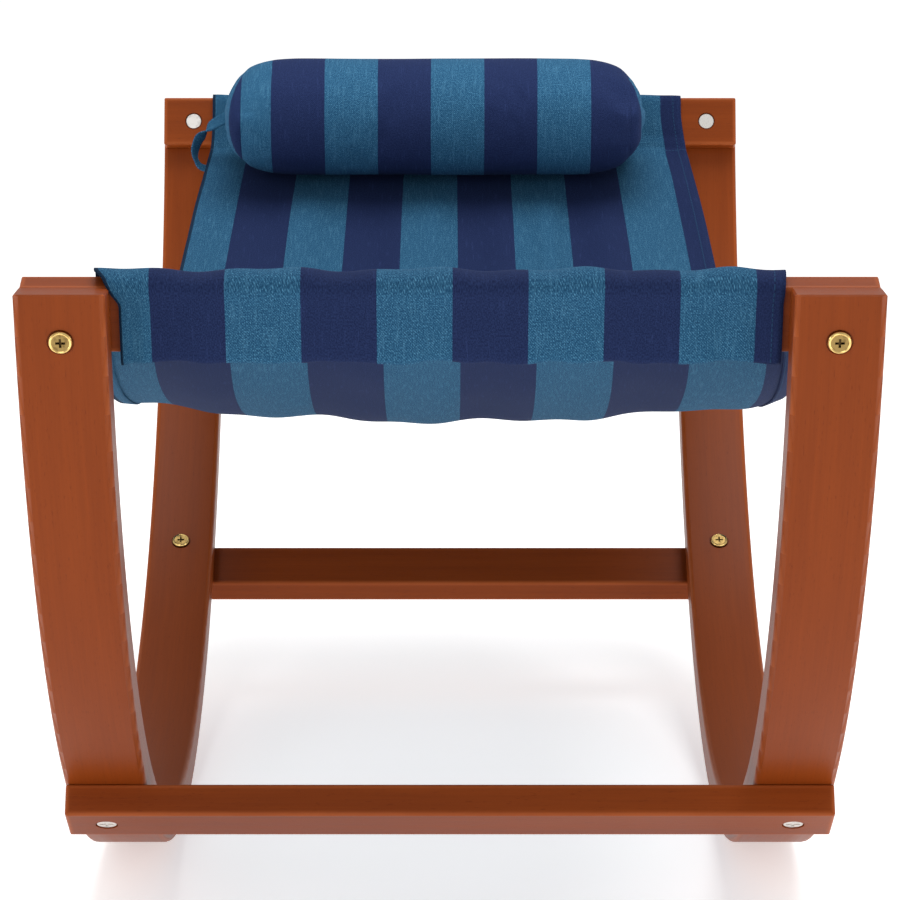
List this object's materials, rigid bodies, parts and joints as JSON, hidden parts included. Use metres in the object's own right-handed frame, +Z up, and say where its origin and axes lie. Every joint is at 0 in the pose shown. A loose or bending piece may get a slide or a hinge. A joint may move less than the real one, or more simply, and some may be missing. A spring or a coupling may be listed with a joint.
{
  "type": "rocking hammock lounger",
  "caption": "Striped sling lounger hung between the top rails of a rocking bent-wood arc stand, with a strapped bolster pillow.",
  "frame": {"origin": "on the floor, under the middle of the lounger, where the rocking arcs touch it", "axes": "+Z up, +Y from the foot end to the head end with the pillow, +X to the right of a person who looks from the foot end"},
  "size_m": [0.66, 1.622, 0.6912],
  "materials": {
    "wood": "satin",
    "dowel_wood": "matte",
    "brass": "polished",
    "zinc": "satin",
    "sling_cloth": "matte",
    "pillow_cloth": "matte",
    "strap_cloth": "matte",
    "filling": "matte"
  },
  "bodies": {
    "stand_and_sling": {"left_arc": "wood", "right_arc": "wood", "front_rail": "wood", "rear_rail": "wood", "front_stretcher": "wood", "rear_stretcher": "wood", "locating_dowels": "dowel_wood", "cup_washers": "brass", "front_rail_bolts": "brass", "rear_rail_bolts": "brass", "front_stretcher_bolts": "brass", "rear_stretcher_bolts": "brass", "rail_sleeve_nuts": "zinc", "stretcher_sleeve_nuts": "zinc", "sling_panel": "sling_cloth", "front_pocket": "sling_cloth", "rear_pocket": "sling_cloth", "left_hem": "sling_cloth", "right_hem": "sling_cloth"},
    "pillow": {"pillow_cover": "pillow_cloth", "pillow_left_cap": "pillow_cloth", "pillow_right_cap": "pillow_cloth", "pillow_filling": "filling", "pillow_strap": "strap_cloth"}
  },
  "joints": [
    {"name": "pillow_slide", "type": "slide", "parent": "stand_and_sling", "child": "pillow", "axis": [0, -0.9386, -0.345], "range_m": [0, 0.1]}
  ]
}
